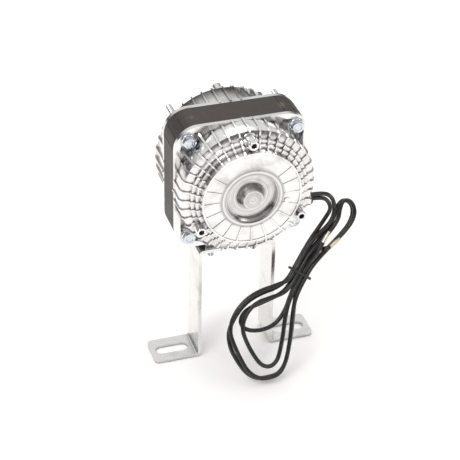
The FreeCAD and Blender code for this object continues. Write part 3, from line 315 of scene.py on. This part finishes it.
# Clamp bolts: flanged hexagon heads with a turned chamfer and a shallow dimple, and long threaded
# tails that stand out behind the rear shield. Heights are measured outwards from the seat of the
# head, in millimetres.
HALF_SPACING = 33.5
HEAD_FLATS = 7.0
CHAMFER_SLOPE = 0.6
SHANK_RADIUS = 2.0
SHANK_END = -24.0
THREAD_RADIUS = 1.85
THREAD_DEPTH = 0.13
THREAD_PITCH = 0.7
THREAD_START = -24.4
THREAD_STOP = 0.6
ROWS_PER_TURN = 5
SEAT = -8.8
TAIL_END = 34.0
TAIL_RADIUS = 1.6
TAIL_CHAMFER = 0.3
NEAR_AXIS = 0.01
STEPS = 36
SCREW_SHARP = 28
length = TAIL_END - SEAT
rows = [("round", NEAR_AXIS, 3.45), ("round", 1.9, 3.45), ("round", 2.3, 3.8), ("round", 3.25, 3.8),
        ("chamfer", 3.3, 3.8), ("hexagon", 0, 1.0), ("round", 4.2, 0.85), ("round", 4.5, 0.5),
        ("round", 4.5, 0.0), ("round", SHANK_RADIUS, 0.0), ("round", SHANK_RADIUS, SHANK_END)]
height = THREAD_START
while height > THREAD_STOP - length:
    rows.append(("thread", THREAD_RADIUS, height))
    height -= THREAD_PITCH / ROWS_PER_TURN
rows += [("round", TAIL_RADIUS, TAIL_CHAMFER - length), ("round", TAIL_RADIUS - TAIL_CHAMFER, -length),
         ("round", NEAR_AXIS, -length)]
made = bmesh.new()
for across, up in [(x, z) for x in (-HALF_SPACING, HALF_SPACING) for z in (-HALF_SPACING, HALF_SPACING)]:
    before = None
    for kind, size, rise in rows:
        row = []
        for i in range(STEPS):
            turn = 2 * math.pi * i / STEPS
            to_flat = HEAD_FLATS / 2 / math.cos(turn % (math.pi / 3) - math.pi / 6)
            out = {"round": size, "hexagon": to_flat, "chamfer": to_flat,
                   "thread": size + THREAD_DEPTH * math.cos(2 * math.pi * rise / THREAD_PITCH - turn)}[kind]
            drop = CHAMFER_SLOPE * max(0, to_flat - size) if kind == "chamfer" else 0
            row.append(made.verts.new(((SHAFT_ACROSS + across + out * math.cos(turn)) / 1000,
                                       (SEAT - rise + drop) / 1000,
                                       (SHAFT_HEIGHT + up + out * math.sin(turn)) / 1000)))
        if before:
            for i in range(STEPS):
                made.faces.new((before[i], before[(i + 1) % STEPS], row[(i + 1) % STEPS], row[i]))
        else:
            made.faces.new(row)
        before = row
    made.faces.new(before)
bmesh.ops.recalc_face_normals(made, faces=made.faces)
mesh = bpy.data.meshes.new("clamp_screws")
made.to_mesh(mesh)
made.free()
smooth(mesh, SCREW_SHARP)
mesh.materials.append(blue_zinc)
screws = placed("clamp_screws", mesh)
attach(screws, "motor")
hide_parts("clamp_bolts")

# Shaft, bearings and felts.
ground = surface("ground_steel", (0.60, 0.61, 0.63), (0.42, 0.42, 0.43), 1.0, 0.2, 1400,
                 0.00001, 90, 0.55, (1, 8, 1))
paint(ground, "shaft")
bronze = surface("sintered_bronze", (0.50, 0.34, 0.18), (0.34, 0.24, 0.14), 0.9, 0.42, 1500,
                 0.00003, 200)
paint(bronze, "front_bearing", "rear_bearing")
felt = surface("felt", (0.70, 0.64, 0.50), (0.50, 0.43, 0.30), 0.0, 0.85, 1600, 0.0002, 300)
paint(felt, "front_oil_felt", "rear_oil_felt")

# Windings: enamelled copper on ivory bobbins, with bare copper shading rings.
copper = surface("copper", (0.62, 0.26, 0.11), (0.40, 0.15, 0.06), 0.85, 0.32, 900, 0.00005, 200)
paint(copper, *["%s_%d" % (kind, i) for kind in ("coil", "shading_ring") for i in range(1, 5)])
nylon = surface("nylon", (0.74, 0.69, 0.56), (0.58, 0.52, 0.40), 0.0, 0.48, 700, 0.00003, 120)
paint(nylon, *["coil_bobbin_%d" % i for i in range(1, 5)],
      "front_thrust_washer", "rear_thrust_washer", "front_spacer", "rear_spacer")

# Grommet, lead insulation and terminals.
rubber = surface("black_rubber", (0.022, 0.022, 0.022), (0.05, 0.05, 0.05), 0.0, 0.5, 900, 0.00004, 200)
paint(rubber, "lead_grommet")
pvc = surface("black_pvc", (0.014, 0.013, 0.013), (0.04, 0.037, 0.035), 0.0, 0.3, 500, 0.00006, 160)
tinned = surface("tinned_brass", (0.80, 0.72, 0.58), (0.55, 0.45, 0.30), 0.95, 0.3, 900, 0.00004, 300)
paint(tinned, "lead_terminal_1", "lead_terminal_2")

# The hank leans back on its foot: places on it are across, up along the slope and depth through it,
# in millimetres.
TILT = math.radians(23.5)
FOOT_OF_SLOPE = -50.2


def on_hank(across, up, depth):
    y = FOOT_OF_SLOPE + up * math.sin(TILT) + depth * math.cos(TILT)
    z = up * math.cos(TILT) - depth * math.sin(TILT)
    return (across, y, z)


# Tie: a thin black cord pulled tight round the waist of the hank, square to the strands there, which
# rise 4 for every 3 across. Its loop is a rounded oblong.
WAIST_ACROSS = 37
WAIST_UP = 67
STRAND_ACROSS = 0.6
STRAND_UP = 0.8
TIE_RADIUS = 0.9
TIE_HALF_SIDE = 6.85
TIE_HALF_DEPTH = 3.95
CORNER_POWER = 0.45
AROUND = 40
SECTION = 10
rim = []
for i in range(AROUND):
    turn = 2 * math.pi * i / AROUND
    side = math.copysign(abs(math.cos(turn)) ** CORNER_POWER, math.cos(turn))
    depth = math.copysign(abs(math.sin(turn)) ** CORNER_POWER, math.sin(turn))
    rim.append((side, depth))
verts = []
for k in range(SECTION):
    swell = TIE_RADIUS * math.cos(2 * math.pi * k / SECTION)
    along = TIE_RADIUS * math.sin(2 * math.pi * k / SECTION)
    half_side = TIE_HALF_SIDE + swell
    half_depth = TIE_HALF_DEPTH + swell
    for side, depth in rim:
        across = WAIST_ACROSS + STRAND_UP * side * half_side + STRAND_ACROSS * along
        up = WAIST_UP - STRAND_ACROSS * side * half_side + STRAND_UP * along
        verts.append(tuple(value / 1000 for value in on_hank(across, up, depth * half_depth)))
faces = []
for ring in range(SECTION):
    for i in range(AROUND):
        after = (i + 1) % AROUND
        lower = ring * AROUND
        upper = (ring + 1) % SECTION * AROUND
        faces.append((lower + i, lower + after, upper + after, upper + i))
mesh = bpy.data.meshes.new("hank_band")
mesh.from_pydata(verts, [], faces)
mesh.update()
for face in mesh.polygons:
    face.use_smooth = True
band_piece = placed("hank_band", mesh)
mesh.materials.append(rubber)
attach(band_piece, "motor")
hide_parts("hank_tie")

# Leads: each is one long wire folded back and forth into the hank, the first in front of the second.
# Their points are in millimetres, free of the hank at first and then in its own directions.
front_lead = [
    (45.6, -13.6, 111.7), (53.6, -13.6, 111.7), (60.7, -10.6, 106.0), (63.7, -9.1, 98.0),
] + [on_hank(*place) for place in (
    (62.6, 100.5, -1.7), (59.2, 95.4, -1.8), (53.0, 91.0, -1.7), (46.0, 86.0, -1.6), (40.8, 79.3, -1.5),
    (37.7, 75.2, -1.5), (33.5, 69.6, -1.5), (29.3, 64.0, -1.5), (20.0, 62.2, -1.9), (8.0, 60.4, -2.2),
    (-2.0, 55.4, -2.0), (-9.5, 47.0, -1.7), (-12.5, 38.0, -1.6), (-10.5, 29.0, -1.9), (-7.5, 20.0, -2.2),
    (-4.0, 11.5, -2.0), (2.0, 5.6, -1.7), (9.0, 4.2, -1.6), (16.0, 5.4, -1.7), (20.5, 11.0, -2.1),
    (23.8, 20.0, -2.3), (26.5, 30.0, -2.0), (28.8, 41.0, -1.8), (31.6, 51.0, -1.6), (36.3, 58.8, -1.5),
    (40.5, 64.4, -1.5), (44.7, 70.0, -1.5), (52.0, 76.4, -1.6), (60.0, 82.4, -1.8), (68.0, 88.4, -2.1),
    (74.4, 94.8, -2.3), (76.6, 101.2, -2.2), (74.4, 107.4, -2.0), (69.4, 108.6, -1.8), (66.8, 103.4, -1.6),
    (65.6, 97.6, -1.4), (60.6, 91.6, -1.2), (55.0, 86.8, -1.0), (48.8, 82.2, -1.0), (44.2, 78.4, -1.3),
    (40.0, 73.5, -1.5), (35.8, 67.9, -1.5), (31.6, 62.3, -1.5), (25.6, 56.6, -1.8), (16.0, 55.2, -2.1),
    (6.0, 53.6, -2.2), (-1.0, 47.6, -2.0), (-4.5, 39.0, -1.8), (-2.5, 30.0, -1.7), (1.0, 21.0, -1.9),
    (5.2, 13.6, -2.1), (11.0, 11.2, -2.0), (16.2, 14.6, -1.8), (19.0, 22.0, -1.8), (21.6, 31.0, -2.0),
    (24.2, 42.0, -1.9), (28.2, 52.0, -1.6), (34.0, 60.5, -1.5), (38.2, 66.1, -1.5), (42.4, 71.7, -1.9),
    (45.0, 75.3, -3.6), (47.4, 78.5, -5.2), (50.0, 82.0, -5.7), (52.1, 84.8, -5.7),
)]
back_lead = [
    (45.6, -13.6, 108.7), (53.2, -13.6, 108.7), (58.8, -11.2, 102.8), (61.1, -9.6, 95.5),
] + [on_hank(*place) for place in (
    (57.0, 98.0, 1.1), (52.6, 92.8, 1.7), (47.0, 87.0, 1.7), (41.9, 80.8, 1.5),
    (37.7, 75.2, 1.5), (33.5, 69.6, 1.5), (29.3, 64.0, 1.5), (21.5, 59.8, 1.7), (10.0, 57.8, 2.0),
    (0.0, 53.2, 2.2), (-7.5, 45.6, 2.0), (-12.8, 37.0, 1.7), (-12.4, 27.0, 1.6), (-9.0, 18.5, 1.8),
    (-4.5, 10.0, 2.0), (1.5, 4.8, 1.8), (9.0, 3.9, 1.6), (17.0, 4.8, 1.7), (22.4, 10.8, 2.0),
    (25.6, 20.0, 2.2), (28.6, 31.0, 2.0), (31.0, 43.0, 1.7), (33.0, 52.6, 1.5), (36.3, 58.8, 1.5),
    (40.5, 64.4, 1.5), (44.7, 70.0, 1.5), (51.0, 74.8, 1.6), (58.5, 80.0, 1.9), (66.0, 85.6, 2.2),
    (72.8, 91.6, 2.2), (76.6, 98.6, 2.0), (75.8, 105.2, 1.8), (71.0, 108.4, 1.6), (66.6, 105.2, 1.6),
    (64.4, 99.4, 1.8), (60.4, 93.2, 1.9), (55.0, 87.5, 1.8), (48.5, 82.4, 1.6),
    (44.2, 78.4, 1.5), (40.0, 73.5, 1.5), (35.8, 67.9, 1.5), (31.6, 62.3, 1.5), (25.0, 55.6, 1.8),
    (12.0, 52.2, 2.2), (0.0, 49.2, 2.3), (-4.6, 42.6, 2.0), (-1.4, 36.6, 1.8), (8.0, 34.4, 1.8),
    (18.0, 36.4, 2.0), (25.2, 43.6, 2.0), (29.6, 52.8, 1.7), (34.0, 60.5, 1.5), (38.2, 66.1, 1.5),
    (42.4, 71.7, 1.5), (46.8, 76.8, 1.5), (50.2, 79.8, 0.2), (52.6, 80.6, -3.0), (54.4, 80.9, -5.4),
    (56.6, 81.4, -5.7),
)]
LEAD_DIAMETER = 0.0027
for name, spots, carried, cad_node in (
    ("lead_wire_1", front_lead, ["lead_terminal_1", band_piece], "lead_1"),
    ("lead_wire_2", back_lead, ["lead_terminal_2"], "lead_2"),
):
    curve = bpy.data.curves.new(name, "CURVE")
    curve.dimensions = "3D"
    curve.bevel_depth = LEAD_DIAMETER / 2
    curve.bevel_resolution = 5
    curve.use_fill_caps = True
    spline = curve.splines.new("NURBS")
    spline.points.add(len(spots) - 1)
    for point, spot in zip(spline.points, spots):
        point.co = (spot[0] / 1000, spot[1] / 1000, spot[2] / 1000, 1)
    spline.order_u = 3
    spline.use_endpoint_u = True
    spline.resolution_u = 8
    wire = placed(name, curve)
    curve.materials.append(pvc)
    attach(wire, "motor")
    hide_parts(cad_node, "lead_hank")

# Floor: one wide pale sheet, a little lighter where the camera or a shiny surface sees it.
PAPER_GLOW = 0.14
bpy.ops.mesh.primitive_plane_add(size=8)
floor = bpy.context.object
floor.name = "floor"
paper = bpy.data.materials.new("paper")
paper.use_nodes = True
nodes = paper.node_tree.nodes
links = paper.node_tree.links
paper_shader = nodes["Principled BSDF"]
paper_shader.inputs["Base Color"].default_value = (0.93, 0.915, 0.905, 1)
paper_shader.inputs["Roughness"].default_value = 0.9
paper_shader.inputs["Emission Color"].default_value = (1, 0.985, 0.97, 1)
ray = nodes.new("ShaderNodeLightPath")
seen = nodes.new("ShaderNodeMath")
seen.operation = "MAXIMUM"
links.new(ray.outputs["Is Camera Ray"], seen.inputs[0])
links.new(ray.outputs["Is Glossy Ray"], seen.inputs[1])
glow = nodes.new("ShaderNodeMath")
glow.operation = "MULTIPLY"
glow.inputs[1].default_value = PAPER_GLOW
links.new(seen.outputs["Value"], glow.inputs[0])
links.new(glow.outputs["Value"], paper_shader.inputs["Emission Strength"])
floor.data.materials.append(paper)

# Light: a room that is bright above and dark near the floor, a wide key from the upper left, a soft
# fill from the right and a wide lamp over the top.
ROOM_STRENGTH = 0.82
world = bpy.data.worlds.new("room")
bpy.context.scene.world = world
world.use_nodes = True
nodes = world.node_tree.nodes
links = world.node_tree.links
background = nodes["Background"]
background.inputs["Strength"].default_value = ROOM_STRENGTH
sight = nodes.new("ShaderNodeTexCoord")
split = nodes.new("ShaderNodeSeparateXYZ")
links.new(sight.outputs["Generated"], split.inputs["Vector"])
ramp = nodes.new("ShaderNodeValToRGB")
ramp.color_ramp.elements[0].position = 0.12
ramp.color_ramp.elements[0].color = (0.06, 0.06, 0.065, 1)
ramp.color_ramp.elements[1].position = 0.5
ramp.color_ramp.elements[1].color = (1.0, 0.99, 0.98, 1)
links.new(split.outputs["Z"], ramp.inputs["Fac"])
links.new(ramp.outputs["Color"], background.inputs["Color"])
for name, place, aim, width, power in (
    ("key", (-0.9, -0.7, 1.5), (0, 0, 0.08), 0.7, 9),
    ("fill", (1.1, -1.2, 0.9), (0, 0, 0.08), 0.6, 3),
    ("top", (0.1, 0.5, 1.6), (0, 0, 0.05), 0.8, 7),
):
    lamp = bpy.data.lights.new(name, "AREA")
    lamp.size = width
    lamp.energy = power
    lamp_piece = placed(name, lamp)
    lamp_piece.location = place
    lamp_piece.rotation_euler = (Vector(aim) - Vector(place)).to_track_quat("-Z", "Y").to_euler()

# Camera: the view of the photograph, from above the closed end and a little to the left.
camera = bpy.data.cameras.new("camera")
camera.lens = 129.4
camera.sensor_width = 36
camera_piece = placed("camera", camera)
stand = Vector((-0.268435, -0.805273, 0.656747))
target = Vector((-0.00001, 0.004, 0.08294))
roll = Quaternion((0, 0, 1), math.radians(1.07))
camera_piece.location = stand
camera_piece.rotation_mode = "QUATERNION"
camera_piece.rotation_quaternion = (target - stand).to_track_quat("-Z", "Y") @ roll
bpy.context.scene.camera = camera_piece
bpy.context.scene.view_settings.view_transform = "Standard"

bpy.context.view_layer.update()
